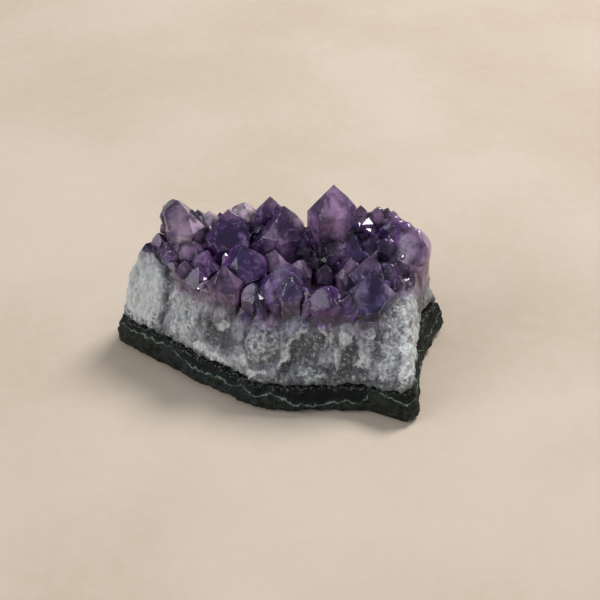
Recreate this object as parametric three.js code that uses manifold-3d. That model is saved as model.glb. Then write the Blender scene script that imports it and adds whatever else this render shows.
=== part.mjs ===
// An amethyst cluster broken out of a geode: a rind of dark green rock, and on it the quartz that grew there,
// columnar and grey at its root and closed by purple points. Units are millimetres, +Z is up, the origin is at
// the middle of the footprint, on the surface that the specimen stands on, and X runs along its long side.
import * as THREE from "three";
import { mergeVertices } from "three/addons/utils/BufferGeometryUtils.js";
import Module from "manifold-3d";

const wasm = await Module();
wasm.setup();

// Driving dimensions.
const RIND_TOP = 5.3; // mean height of the contact between rock and quartz, at the middle
const RIND_ENDS = 2.2; // how much higher that contact lies at either end
const HALF_LENGTH = 32;
const SEAM = 0.3; // gap kept between the two solids along that contact
const SIDE_STEP = 1.7; // spacing of the vertices around the walls
const SHOULDER_INSET = 0.4; // how far the quartz wall's top draws in under the points that crown it
const WALL_LEVELS = 8; // rings of vertices up the quartz wall
const CENTRE = new THREE.Vector2(-0.5, 2.5); // the middle that all rings are drawn around
const TIP_SLOPE = THREE.MathUtils.degToRad(51.8); // from a quartz crystal's axis to the normal of a tip face
const CRYSTAL_LENGTH = 24; // length of a crystal before its root is cut off
const ROOT_LEVEL = 9.2; // height at which the points' roots end inside the quartz body

// The broken outline, corner by corner: x and y on the rind's widest line, then x, y and z of the wall's top.
const OUTLINE = [
  [-33.4, -4.9, -29.3, 0.4, 20.2],
  [-29.5, -6.9, -26.6, 0.3, 20.4],
  [-23.5, -9.4, -22.6, -2.2, 18.8],
  [-16.3, -13.0, -15.8, -6.4, 17.4],
  [-9.0, -15.9, -10.2, -8.8, 17.0],
  [-1.4, -18.9, -3.2, -9.2, 17.2],
  [5.7, -18.3, 4.6, -9.4, 17.2],
  [14.1, -16.0, 12.6, -9.2, 17.2],
  [22.0, -15.2, 20.2, -6.6, 17.6],
  [28.6, -16.5, 22.8, -1.4, 18.4],
  [30.1, -14.0, 24.2, 1.4, 20.4],
  [28.9, 0.2, 26.4, 4.6, 21.4],
  [30.3, 8.4, 27.4, 7.4, 21.2],
  [31.6, 13.9, 27.2, 11.6, 20.4],
  [26.0, 18.6, 22.6, 15.4, 19.2],
  [16.0, 20.6, 14.4, 17.4, 19.4],
  [5.0, 22.3, 5.0, 17.8, 19.6],
  [-5.0, 20.4, -5.0, 16.2, 19.0],
  [-14.0, 18.6, -13.4, 13.8, 19.2],
  [-22.0, 15.0, -20.4, 10.6, 19.6],
  [-29.3, 8.6, -25.8, 6.6, 19.8],
  [-33.0, 2.0, -29.2, 3.4, 20.2],
];

// Lumps (positive) and scoops (negative) broken into the walls: centre, radius and height in millimetres.
const WALL_MARKS = [
  { x: -3.5, y: -14.0, z: 10.5, radius: 4.4, height: 1.1 },
  { x: 6.5, y: -14.5, z: 9.5, radius: 5.0, height: -1.2 },
  { x: 28, y: -9, z: 10, radius: 4.5, height: 0.8 },
  { x: -28, y: -3, z: 14, radius: 4.5, height: 0.6 },
  { x: -17, y: -9, z: 11, radius: 4.0, height: 0.6 },
  { x: 19, y: -12, z: 11, radius: 4.0, height: -0.7 },
  { x: 12, y: 19, z: 11, radius: 5.0, height: -1.0 },
  { x: -10, y: 17, z: 12, radius: 5.0, height: 0.9 },
  { x: 28, y: 14, z: 12, radius: 4.0, height: -0.8 },
];

// The points seen from the front. Each has its tip, the width across its prism, how far the middle of the
// prism lies from the tip, the lean of its axis per unit of height and its turn about the axis in degrees.
const POINTS = [
  // Back row, left to right.
  { tip: [-21.5, 4.4, 31.2], across: 9.0, middle: [1.2, 0.4], lean: [-0.05, 0.06], turn: 34 },
  { tip: [-22.7, 4.8, 30.9], across: 5.0, middle: [0.3, 0.3], lean: [-0.02, 0.02], turn: 12 },
  { tip: [-19.0, 5.6, 28.6], across: 6.0, middle: [0, 0], lean: [0.08, 0.02], turn: 50 },
  { tip: [-15.3, 6.1, 27.5], across: 3.6, middle: [0, 0], lean: [0.05, 0.1], turn: 10 },
  { tip: [-11.9, 7.4, 28.8], across: 10.4, middle: [0, -0.2], lean: [-0.04, 0.24], turn: 54 },
  { tip: [-9.9, 11.2, 28.2], across: 6.0, middle: [0.5, 0], lean: [0.0, 0.12], turn: 10 },
  { tip: [-4.4, 10.9, 30.2], across: 6.2, middle: [-0.6, 0.3], lean: [0.02, 0.1], turn: 50 },
  { tip: [-1.1, 8.9, 29.7], across: 10.8, middle: [-1.4, 0.0], lean: [0.04, 0.18], turn: 76 },
  { tip: [5.2, 9.0, 25.6], across: 4.6, middle: [0, 0], lean: [-0.05, 0.0], turn: 20 },
  { tip: [8.3, 11.6, 34.2], across: 8.6, middle: [-0.2, 0], lean: [-0.02, 0.12], turn: 44 },
  { tip: [13.4, 13.9, 28.6], across: 6.8, middle: [0, 0], lean: [0.0, 0.14], turn: 46 },
  { tip: [15.6, 12.8, 27.3], across: 4.6, middle: [0.3, 0], lean: [0.06, 0.05], turn: 75 },
  { tip: [16.9, 14.3, 28.7], across: 4.2, middle: [0, 0], lean: [0.06, 0.1], turn: 42 },
  { tip: [18.7, 14.7, 28.2], across: 4.6, middle: [0.2, 0], lean: [0.1, 0.12], turn: 20 },
  { tip: [20.7, 12.8, 28.3], across: 5.4, middle: [0, 0], lean: [0.1, 0.05], turn: 60 },
  { tip: [23.2, 11.0, 28.6], across: 10.6, middle: [-0.2, -1.0], lean: [0.1, 0.1], turn: 16 },
  { tip: [25.2, 9.8, 28.3], across: 7.8, middle: [0.2, -0.8], lean: [0.06, 0.1], turn: 6 },
  // Middle, around the dark hollow.
  { tip: [-25.4, 2.8, 23.8], across: 3.4, middle: [0, 0], lean: [-0.12, 0.0], turn: 8 },
  { tip: [-22.0, 0.0, 24.5], across: 4.8, middle: [0, 0], lean: [-0.1, -0.1], turn: 52 },
  { tip: [-18.0, 0.4, 25.5], across: 5.8, middle: [0, 0], lean: [0.0, -0.08], turn: 30 },
  { tip: [-14.6, -2.0, 24.2], across: 5.8, middle: [0.4, 0], lean: [0.05, -0.15], turn: 20 },
  { tip: [-6.9, -2.0, 27.0], across: 8.6, middle: [0, 0], lean: [0.0, -0.08], turn: 72 },
  { tip: [-1.3, 1.6, 24.2], across: 5.6, middle: [0, 0], lean: [0.05, 0.0], turn: 24 },
  { tip: [2.9, 7.3, 25.6], across: 6.0, middle: [0, 0], lean: [0.05, -0.1], turn: 30 },
  { tip: [3.7, 1.6, 22.4], across: 5.0, middle: [0, 0], lean: [0.0, -0.1], turn: 0 },
  { tip: [5.1, 5.6, 22.4], across: 5.2, middle: [0, 0], lean: [0.1, 0.0], turn: 45 },
  { tip: [7.6, 7.6, 23.4], across: 5.0, middle: [0, 0], lean: [0.0, 0.0], turn: 12 },
  { tip: [8.6, 2.0, 21.8], across: 4.6, middle: [0, 0], lean: [0.0, -0.1], turn: 35 },
  { tip: [9.4, 7.0, 25.2], across: 4.6, middle: [0, 0], lean: [-0.04, 0.0], turn: 30 },
  { tip: [12.4, 8.6, 25.8], across: 6.6, middle: [0, -0.4], lean: [0.03, 0.0], turn: 44 },
  { tip: [13.3, 2.8, 23.4], across: 6.2, middle: [0, 0], lean: [0.0, -0.05], turn: 60 },
  { tip: [17.6, 2.6, 24.8], across: 9.2, middle: [0, 0.4], lean: [0.04, -0.02], turn: 40 },
  { tip: [21.7, 3.0, 23.8], across: 6.8, middle: [0.2, 0], lean: [0.14, -0.02], turn: 12 },
  // Front row, which crowns the broken wall.
  { tip: [-20.7, -3.6, 22.0], across: 5.0, middle: [0, 0], lean: [-0.04, 0.03], turn: 10 },
  { tip: [-18.2, -3.6, 22.6], across: 5.4, middle: [0, 0], lean: [0.0, 0.03], turn: 40 },
  { tip: [-15.4, -4.7, 22.2], across: 5.0, middle: [0, 0], lean: [0.03, 0.03], turn: 15 },
  { tip: [-12.7, -7.2, 21.4], across: 4.4, middle: [0, 0], lean: [0.0, 0.03], turn: 0 },
  { tip: [-9.3, -6.7, 25.0], across: 6.8, middle: [0, 0], lean: [-0.02, 0.03], turn: 44 },
  { tip: [-3.8, -7.1, 22.0], across: 4.4, middle: [0, 0], lean: [0.0, 0.03], turn: 16 },
  { tip: [2.2, -4.0, 25.6], across: 9.6, middle: [-1.7, -0.2], lean: [0.0, 0.03], turn: 22 },
  { tip: [3.7, -6.7, 24.0], across: 5.8, middle: [0, 0], lean: [0.0, 0.03], turn: 44 },
  { tip: [6.6, -6.6, 22.2], across: 4.4, middle: [0, 0], lean: [0.0, 0.03], turn: 5 },
  { tip: [10.4, -6.5, 23.7], across: 7.2, middle: [0, 0.2], lean: [0.0, 0.03], turn: 10 },
  { tip: [18.6, -2.6, 25.2], across: 10.0, middle: [0, 0], lean: [0.03, 0.03], turn: 44 },
  { tip: [14.6, -6.6, 21.6], across: 4.8, middle: [0, 0], lean: [0.0, 0.03], turn: 25 },
];

// The smaller points of the hidden back: how many, where they start, how wide they come, and the tip height
// that they fall away from towards the back wall.
const BACK = { count: 40, seed: 11, from: 7, across: [3.8, 6.2], top: 31.0, fall: 0.64 };

// A repeatable sequence of numbers from 0 to 1.
function sequence(seed) {
  let state = seed;
  return () => {
    state = (state * 16807) % 2147483647;
    return state / 2147483647;
  };
}

// A smooth bumpy field of about -1 to 1 over x, y and z, with bumps of about the given size.
function bumps(x, y, z, size) {
  const k = (2 * Math.PI) / size;
  return (
    (Math.sin(k * (x + 0.45 * y)) +
      Math.sin(k * (0.62 * y - 0.4 * z) + 1.7 * Math.sin(k * 0.31 * x)) +
      Math.sin(k * (0.8 * z + 0.37 * x) + 2.1)) / 3
  );
}

// Height of the contact between rock and quartz.
function contact(x, y) {
  const rise = RIND_ENDS * (x / HALF_LENGTH) ** 2;
  return RIND_TOP + rise + 0.5 * bumps(x, y, 3, 24) + 0.35 * bumps(x, y, 9, 9);
}

// The outline as evenly spaced points, each with its way outwards and the wall's top above it.
function rim() {
  const points = [];
  OUTLINE.forEach((corner, i) => {
    const next = OUTLINE[(i + 1) % OUTLINE.length];
    const length = Math.hypot(next[0] - corner[0], next[1] - corner[1]);
    const steps = Math.max(1, Math.round(length / SIDE_STEP));
    for (let s = 0; s < steps; s++) {
      const [x, y, ...top] = corner.map((value, k) => value + ((next[k] - value) * s) / steps);
      const place = new THREE.Vector2(x, y);
      points.push({ place, out: place.clone().sub(CENTRE).normalize(), top: new THREE.Vector3(...top) });
    }
  });
  return points;
}

const RIM = rim();

// A closed solid through rings of vertices, each ring as long as the rim, with a vertex at either end.
function ringSolid(first, rings, last) {
  const count = RIM.length;
  const vertices = [first, ...rings.flat(), last];
  const triangles = [];
  for (let i = 0; i < count; i++) {
    const next = (i + 1) % count;
    triangles.push(0, 1 + next, 1 + i);
    for (let r = 0; r + 1 < rings.length; r++) {
      const low = 1 + r * count;
      const high = low + count;
      triangles.push(low + i, low + next, high + next, low + i, high + next, high + i);
    }
    const top = 1 + (rings.length - 1) * count;
    triangles.push(vertices.length - 1, top + i, top + next);
  }
  return solidOf(vertices, triangles);
}

function solidOf(vertices, triangles) {
  const vertProperties = new Float32Array(vertices.flatMap((v) => [v.x, v.y, v.z]));
  return new wasm.Manifold(
    new wasm.Mesh({ numProp: 3, vertProperties, triVerts: new Uint32Array(triangles) }),
  );
}

// A point of a ring: the rim's point moved inwards, at height z.
function inwards(rimPoint, inset, z) {
  const { place, out } = rimPoint;
  return new THREE.Vector3(place.x - out.x * inset, place.y - out.y * inset, z);
}

// A ring at a share of the rim's distance from the centre, on a height field.
function capRing(edge, share, height) {
  return edge.map((p) => {
    const x = CENTRE.x + (p.x - CENTRE.x) * share;
    const y = CENTRE.y + (p.y - CENTRE.y) * share;
    return new THREE.Vector3(x, y, height(x, y));
  });
}

// The rind: a flat patch to stand on, a rim that lifts off the surface, a rough broken edge and the contact.
function matrixRock() {
  const rough = (p, z, size, depth) => depth * bumps(p.place.x, p.place.y, z, size);
  const foot = RIM.map((p) => inwards(p, 1.6 + rough(p, 1, 11, 0.7), 0));
  const lip = RIM.map((p) => inwards(p, 0.4 + rough(p, 2, 5, 0.35), 0.6 + rough(p, 5, 9, 0.25)));
  const belly = RIM.map((p) => inwards(p, rough(p, 4, 4.2, 0.3), 1.9 + rough(p, 8, 7, 0.4)));
  const upper = RIM.map((p) => inwards(p, 0.5 + rough(p, 6, 4.8, 0.4), 3.8 + rough(p, 3, 8, 0.3)));
  const edge = RIM.map((p) => inwards(p, 1.5 + rough(p, 6, 5.5, 0.3), 0));
  edge.forEach((v) => (v.z = contact(v.x, v.y)));
  const flat = () => 0;
  const caps = [0.75, 0.4].map((share) => capRing(edge, share, contact));
  return ringSolid(
    new THREE.Vector3(CENTRE.x, CENTRE.y, 0),
    [capRing(foot, 0.5, flat), foot, lip, belly, upper, edge, ...caps],
    new THREE.Vector3(CENTRE.x, CENTRE.y, contact(CENTRE.x, CENTRE.y)),
  );
}

// How far the quartz wall stands out at a spot: columns side by side, and the lumps and scoops.
function wallRelief({ x, y, z }) {
  const along = x - 0.6 * y;
  const columns = 0.6 * Math.abs(Math.sin(along * 0.52 + 0.06 * z + 0.8 * Math.sin(along * 0.19)));
  const marks = WALL_MARKS.map((m) => {
    const away = Math.hypot(x - m.x, y - m.y, z - m.z) / m.radius;
    return away < 1 ? m.height * (1 - away * away) : 0;
  });
  return columns - 0.3 + 0.45 * bumps(x, y, z, 13) + marks.reduce((sum, m) => sum + m, 0);
}

// A point of the quartz wall, a share of the way from the seam up to the wall's top, moved outwards.
function onWall(p, share, outwards) {
  const foot = inwards(p, 1.7, 0);
  foot.z = contact(foot.x, foot.y) + SEAM;
  const spot = foot.lerp(p.top, share);
  spot.x += p.out.x * outwards;
  spot.y += p.out.y * outwards;
  return spot;
}

// The columnar quartz below the points: broken walls that lean in, and a hummocky top that the points hide.
function quartzBody() {
  const hummocks = (x, y) => 16.2 + 1.2 * bumps(x, y, 2, 12);
  const bottom = RIM.map((p) => onWall(p, 0, 0));
  const wall = [];
  for (let level = 1; level <= WALL_LEVELS; level++) {
    const share = level / WALL_LEVELS;
    wall.push(
      RIM.map((p) => {
        const relief = wallRelief(onWall(p, share, 0)) * Math.min(1, 2.5 * share);
        return onWall(p, share, relief - SHOULDER_INSET * share ** 4);
      }),
    );
  }
  const shoulder = wall[wall.length - 1];
  const lift = (x, y) => contact(x, y) + SEAM;
  return ringSolid(
    new THREE.Vector3(CENTRE.x, CENTRE.y, lift(CENTRE.x, CENTRE.y)),
    [
      ...[0.4, 0.75].map((share) => capRing(bottom, share, lift)),
      bottom,
      ...wall,
      ...[0.85, 0.55, 0.25].map((share) => capRing(shoulder, share, hummocks)),
    ],
    new THREE.Vector3(CENTRE.x, CENTRE.y, hummocks(CENTRE.x, CENTRE.y)),
  );
}

// The room that the points may fill. It stands a little outside the walls at their top, so that the points at
// the edge were broken through with them, and runs inside the walls further down, where the columns end.
function brokenRoom() {
  const ring = (share, outwards) => RIM.map((p) => onWall(p, share, outwards));
  const raised = (points, z) => points.map((v) => new THREE.Vector3(v.x, v.y, z));
  const low = ring(0, -0.6);
  const top = ring(1, 0.8);
  return ringSolid(
    new THREE.Vector3(CENTRE.x, CENTRE.y, 2),
    [raised(low, 3), low, top, raised(ring(1, 1.3), 24), raised(ring(1, 4.0), 36)],
    new THREE.Vector3(CENTRE.x, CENTRE.y, 38),
  );
}

// One quartz crystal: a block cut by six prism faces and six tip faces. Every other tip face is the larger,
// as in real quartz, and no two faces are quite alike.
function quartzPoint({ tip, across, middle, lean, turn }) {
  const random = sequence(Math.round(1000 + 37 * tip[0] * tip[0] + 11 * tip[1] * tip[1] + 5 * tip[2]));
  const block = new THREE.BoxGeometry(3 * across, 3 * across, CRYSTAL_LENGTH);
  block.translate(0, 0, -CRYSTAL_LENGTH / 2);
  const axis = new THREE.Vector3(lean[0], lean[1], 1).normalize();
  const upright = new THREE.Quaternion().setFromUnitVectors(new THREE.Vector3(0, 0, 1), axis);
  const offset = new THREE.Vector3(middle[0], middle[1], 0).applyQuaternion(upright.clone().invert());
  let solid = manifoldOf(block);
  for (let face = 0; face < 6; face++) {
    const angle = THREE.MathUtils.degToRad(turn + 60 * face);
    const out = new THREE.Vector3(Math.cos(angle), Math.sin(angle), 0);
    const side = (across / 2) * (0.94 + 0.12 * random()) + out.dot(offset);
    const slope = out.clone().multiplyScalar(Math.sin(TIP_SLOPE));
    slope.z = Math.cos(TIP_SLOPE);
    const below = across * (face % 2 ? 0.04 + 0.07 * random() : -0.015 * random());
    solid = solid.trimByPlane(out.clone().negate().toArray(), -side);
    solid = solid.trimByPlane(slope.negate().toArray(), -below);
  }
  const size = new THREE.Vector3(1, 1, 1);
  const place = new THREE.Matrix4().compose(new THREE.Vector3(...tip), upright, size);
  return solid.transform(place.elements).trimByPlane([0, 0, 1], ROOT_LEVEL);
}

// A three.js geometry as a solid.
function manifoldOf(geometry) {
  const bare = geometry.clone();
  bare.deleteAttribute("normal");
  bare.deleteAttribute("uv");
  const merged = mergeVertices(bare);
  return new wasm.Manifold(
    new wasm.Mesh({
      numProp: 3,
      vertProperties: new Float32Array(merged.attributes.position.array),
      triVerts: new Uint32Array(merged.index.array),
    }),
  );
}

// The points of the hidden back, wherever the listed ones leave the quartz bare.
function backPoints() {
  const random = sequence(BACK.seed);
  const between = ([low, high]) => low + (high - low) * random();
  const placed = [];
  for (let tries = 0; placed.length < BACK.count && tries < 6000; tries++) {
    const side = RIM[Math.floor(random() * RIM.length)];
    const inset = 1.3 + 7 * random();
    const x = side.top.x - side.out.x * inset;
    const y = side.top.y - side.out.y * inset;
    const across = between(BACK.across);
    const near = [...POINTS, ...placed].some(
      (other) => Math.hypot(other.tip[0] - x, other.tip[1] - y) < 0.3 * (other.across + across),
    );
    if (near || y < BACK.from) continue;
    placed.push({
      tip: [x, y, BACK.top - BACK.fall * y + random()],
      across,
      middle: [0, 0],
      lean: [side.out.x * 0.2, side.out.y * 0.2],
      turn: 60 * random(),
    });
  }
  return placed;
}

// Quartz body and points joined into one solid, as they grew, with any pocket closed in between them filled.
function amethystCrystals() {
  const points = [...POINTS, ...backPoints()].map(quartzPoint);
  const grown = points.reduce((solid, point) => solid.add(point)).intersect(brokenRoom());
  const shells = quartzBody().add(grown).decompose();
  return shells.reduce((largest, shell) => (shell.volume() > largest.volume() ? shell : largest));
}

// A named mesh of a solid.
function mesh(name, solid, material) {
  const { numProp, numVert, vertProperties, triVerts } = solid.getMesh();
  const position = new Float32Array(numVert * 3);
  for (let i = 0; i < numVert; i++) {
    position.set(vertProperties.subarray(i * numProp, i * numProp + 3), i * 3);
  }
  const geometry = new THREE.BufferGeometry();
  geometry.setAttribute("position", new THREE.BufferAttribute(position, 3));
  geometry.setIndex(new THREE.BufferAttribute(triVerts, 1));
  geometry.computeVertexNormals();
  const made = new THREE.Mesh(geometry, material);
  made.name = name;
  return made;
}

const rockFinish = new THREE.MeshStandardMaterial({ color: 0x1d2624, roughness: 0.55, flatShading: true });
const crystalFinish = new THREE.MeshStandardMaterial({ color: 0x6b4f86, roughness: 0.15, flatShading: true });

const cluster = new THREE.Group();
cluster.add(mesh("matrix_rock", matrixRock(), rockFinish));
cluster.add(mesh("amethyst_crystals", amethystCrystals(), crystalFinish));

// The middle of the footprint's box goes to the origin.
const box = new THREE.Box3().setFromObject(cluster);
cluster.position.set(-(box.min.x + box.max.x) / 2, -(box.min.y + box.max.y) / 2, -box.min.z);

export default cluster;
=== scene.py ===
"""The looks of an amethyst cluster, built around its two solids.

Lengths are millimetres until a mesh is made, and X runs along the front."""
import math

import bpy
import numpy as np
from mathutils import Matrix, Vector
from mathutils.bvhtree import BVHTree


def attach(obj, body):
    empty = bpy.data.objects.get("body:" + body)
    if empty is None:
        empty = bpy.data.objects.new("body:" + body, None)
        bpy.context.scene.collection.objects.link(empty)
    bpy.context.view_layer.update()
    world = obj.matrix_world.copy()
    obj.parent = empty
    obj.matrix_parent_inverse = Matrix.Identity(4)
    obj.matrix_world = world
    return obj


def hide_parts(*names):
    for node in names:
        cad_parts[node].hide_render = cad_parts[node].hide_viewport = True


MM = 0.001  # metres in a millimetre
FAR = 80.0  # rays towards a solid start this far out

# The camera: where it looks, from how far and in which direction.
LOOK_AT = (1.2, 15.54, 0.0)
DISTANCE = 260.0
AZIMUTH = 12.0
ELEVATION = 38.0
LENS = 72.0

# The lights stand about a metre off. The key is behind the stone, so its shadow falls to the front.
KEY_PLACE = (0.34, 0.52, 0.80)
FILL_PLACE = (-0.85, -0.55, 0.60)

# The rind is drawn as rings of points round its solid.
RIND_COLUMNS = 640
RIND_ROWS = 44
RIND_BELLY = 2.0  # the height at which its outline is read
RIND_EDGE = 3.0  # how far inside that outline the height of its upper edge is read
RIND_INSETS = (1.0, 2.5, 6.0)  # the rings that lead its top in under the quartz

# The agate line on the front of the rind: x and height.
AGATE = [
    (-33.0, 5.6),
    (-25.6, 5.3),
    (-20.5, 5.3),
    (-18.1, 4.8),
    (-16.0, 4.0),
    (-10.9, 3.7),
    (-7.0, 4.3),
    (-3.3, 4.1),
    (0.3, 3.6),
    (3.6, 3.9),
    (7.9, 2.9),
    (11.1, 2.3),
    (14.7, 2.1),
    (16.9, 3.2),
    (19.6, 2.9),
    (23.7, 5.7),
    (27.0, 5.2),
    (30.2, 4.1),
]
AGATE_DEPTH = 2.6  # how far below the quartz it runs elsewhere

# Longest edges of the quartz mesh: at the points' corners, inside their faces, on the broken wall in front,
# elsewhere on the wall, on worn points and on the hidden underside.
AT_CORNERS = 0.52
IN_FACES = 1.1
FRONT_WALL = 0.46
OTHER_WALL = 0.95
ON_WORN = 0.6
UNDERSIDE = 3.0
UNDERSIDE_HEIGHT = 4.0  # how far up from the foot the underside reaches
ROUNDS = 8  # how often an edge is halved at most

FLAT = math.cos(math.radians(2.5))  # triangles that bend less than this are one face
BENT = math.cos(math.radians(14))  # and those that bend more meet in a corner or a valley
TIP_SLOPE = math.radians(51.8)  # between a point's axis and the normal of its end faces

# Where the purple gives way to grey on the front of the broken wall: x and height.
FADE = [
    (-31, 20.2),
    (-25.7, 19.4),
    (-20.7, 20.2),
    (-17.0, 17.6),
    (-13.2, 17.9),
    (-8.5, 16.6),
    (-3.5, 14.4),
    (0.0, 14.7),
    (3.1, 16.0),
    (14.0, 16.2),
    (22.0, 15.5),
    (24.4, 19.0),
    (31.0, 19.4),
]
FADE_BEHIND = 15.6
FADE_DEPTH = 2.5

# A round lump on the front wall: its middle (x and height) and its half width and half height.
LUMP = (0.3, 12.4)
LUMP_HALF = (3.2, 3.0)
LUMP_SHELLS = (1.9, 13.6)  # the middle of the shells broken open on it

# An arch-shaped hollow beside it: the x of its middle, then its half width at each height.
ARCH_MIDDLE = 9.7
ARCH = [(7.2, 5.72), (9.0, 4.928), (12.0, 4.312), (15.0, 2.904), (16.6, 0.0)]

# Pale places on the front wall: x, height, half width, half height and how white.
WHITE_PATCHES = [
    (-27.0, 14.0, 5.4, 9.0, 0.95),
    (-17.0, 13.0, 3.8, 5.2, 0.45),
    (-8.4, 14.1, 1.3, 1.4, 1.0),
    (-12.8, 7.9, 2.4, 0.9, 1.0),
    (-9.0, 7.3, 2.8, 1.0, 1.0),
    (-3.8, 8.8, 2.2, 1.5, 0.8),
    (-0.6, 7.4, 2.6, 0.9, 0.7),
    (0.2, 12.4, 3.3, 2.9, 0.42),
    (15.8, 14.2, 1.7, 1.3, 0.7),
    (19.9, 14.6, 1.8, 1.1, 0.6),
    (19.4, 10.6, 2.0, 1.6, 0.6),
    (10.2, 7.4, 3.2, 1.1, 0.55),
    (24.0, 10.5, 1.6, 3.6, 0.45),
    (28.6, 8.6, 2.0, 4.0, 0.85),
    (26.4, 16.6, 2.8, 3.6, 0.5),
]

# Dark places, where the quartz is clear and shows the depth behind: the same values, and how dark.
DARK_PATCHES = [
    (-8.4, 11.0, 4.2, 2.4, 0.85),
    (-11.5, 14.6, 1.2, 1.8, 0.4),
    (9.4, 11.6, 3.4, 4.2, 0.66),
    (16.6, 11.2, 1.8, 2.2, 0.7),
    (15.5, 8.2, 6.5, 1.6, 0.8),
    (4.4, 8.0, 1.8, 2.0, 0.7),
    (22.2, 13.4, 1.4, 2.2, 0.5),
    (-22.8, 9.4, 2.6, 1.4, 0.35),
]

# Ridges and cracks on the front wall, through points of x and height: their half width, how far they stand
# out, and how white (or dark, below zero) they are.
LINES = [
    ([(-21.2, 21.0), (-21.1, 14.0), (-21.6, 7.5)], 0.45, -0.8, -0.7),
    ([(-24.4, 20.5), (-25.4, 14.0), (-25.8, 9.0)], 0.40, -0.25, -0.2),
    ([(-19.2, 17.4), (-18.7, 12.0), (-18.9, 8.8)], 0.40, 0.35, 0.8),
    ([(-16.9, 16.6), (-16.6, 12.0), (-15.8, 8.4)], 0.35, 0.30, 0.7),
    ([(-14.4, 16.0), (-14.2, 12.5), (-13.2, 9.6)], 0.40, 0.30, 0.6),
    ([(9.8, 17.3), (6.9, 14.8), (5.4, 11.6), (3.5, 8.2)], 0.50, 0.45, 0.8),
    ([(9.8, 17.3), (12.7, 15.4), (13.7, 10.8), (15.6, 7.6)], 0.45, 0.45, 0.6),
    ([(26.0, 16.4), (27.6, 12.4), (29.4, 6.4)], 0.95, 0.35, 1.0),
    ([(23.4, 15.6), (24.4, 12.0), (24.2, 8.0)], 0.35, 0.20, 0.5),
    ([(17.6, 14.0), (18.2, 11.0), (17.4, 8.4)], 0.30, -0.30, -0.6),
    ([(-6.0, 16.0), (-5.2, 12.0), (-5.6, 9.0)], 0.35, -0.35, -0.5),
]

# What the points are like: their colour and how clear they are.
TINTS = {
    "pale": ((0.88, 0.68, 0.80), 0.42),
    "pink": ((0.95, 0.66, 0.86), 0.42),
    "lilac": ((0.50, 0.31, 0.54), 0.40),
    "mauve": ((0.36, 0.21, 0.40), 0.50),
    "violet": ((0.27, 0.12, 0.42), 0.52),
    "plum": ((0.14, 0.04, 0.21), 0.55),
    "deep": ((0.055, 0.014, 0.15), 0.64),
    "blue": ((0.07, 0.055, 0.22), 0.58),
    "grey": ((0.20, 0.15, 0.34), 0.50),
    "frost": ((0.32, 0.26, 0.44), 0.48),
    # This darkest kind is partly painted shade, for the shaded hollows between the points.
    "black_and_hollow_shade": ((0.02, 0.012, 0.045), 0.62),
}
COMMON_TINTS = ["violet", "deep", "plum", "violet", "mauve", "lilac", "blue"]

# Where each kind shows: x, y, reach and its name.
TINT_SPOTS = [
    (-19.0, -0.2, 2.6, "pink"),
    (-18.0, -1.6, 1.2, "pale"),
    (-21.6, 2.2, 1.5, "mauve"),
    (-16.6, 2.8, 2.2, "pale"),
    (-24.5, 0.8, 1.8, "mauve"),
    (-20.7, -2.3, 1.0, "grey"),
    (-17.0, -2.6, 1.2, "mauve"),
    (-12.9, -2.7, 1.8, "plum"),
    (-13.4, -5.6, 2.4, "violet"),
    (-15.0, 6.4, 1.6, "pale"),
    (-10.4, 1.6, 2.4, "deep"),
    (-13.4, 1.0, 1.2, "violet"),
    (-11.1, 5.2, 1.6, "mauve"),
    (-8.3, 8.6, 2.4, "pale"),
    (-3.4, 9.6, 1.8, "pink"),
    (-4.6, 3.2, 2.4, "deep"),
    (-3.0, 6.6, 2.2, "deep"),
    (1.2, 4.2, 2.0, "deep"),
    (-0.6, 5.4, 2.4, "plum"),
    (2.0, 7.6, 1.8, "pale"),
    (10.0, 6.0, 2.6, "lilac"),
    (9.2, 9.4, 1.6, "mauve"),
    (13.0, 8.2, 1.2, "grey"),
    (14.3, 11.4, 1.6, "mauve"),
    (17.2, 11.8, 1.5, "mauve"),
    (20.2, 12.0, 1.6, "lilac"),
    (21.2, 7.2, 2.0, "plum"),
    (26.4, 4.6, 3.4, "lilac"),
    (21.2, 0.6, 2.0, "grey"),
    (16.6, -1.0, 1.6, "frost"),
    (16.8, -7.2, 1.8, "frost"),
    (20.1, -6.0, 1.3, "deep"),
    (23.6, -4.6, 1.8, "frost"),
    (11.6, -10.0, 2.2, "plum"),
    (4.6, -9.4, 1.9, "blue"),
    (-1.4, -7.0, 1.8, "blue"),
    (2.0, -6.0, 1.6, "grey"),
    (-1.9, -10.8, 1.6, "grey"),
    (-7.6, -10.4, 2.4, "mauve"),
    (-6.4, -5.4, 1.8, "blue"),
    (-3.6, -4.4, 1.7, "deep"),
    # Painted shade, partly: these darkest spots sit in the hollows between the points.
    (7.6, 2.6, 2.6, "black_and_hollow_shade"),
    (12.0, 1.0, 1.6, "deep"),
    (14.4, 5.4, 1.8, "blue"),
    (17.6, 6.6, 1.4, "deep"),
    (9.6, 4.3, 1.2, "black_and_hollow_shade"),
    (20.1, 3.3, 1.2, "black_and_hollow_shade"),
]
OWN_SHARE = 0.12  # how much a crystal's own kind counts beside the spots near it

# Points worn round: x, y, reach and how many times their corners are eased.
WORN = [
    (25.6, 6.6, 7.0, 34),
    (-8.6, 8.6, 2.8, 8),
    (11.6, -9.4, 3.4, 12),
    (4.4, -8.8, 2.6, 4),
    (-11.2, 5.0, 2.6, 5),
    (17.4, 12.0, 2.2, 6),
]

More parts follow.
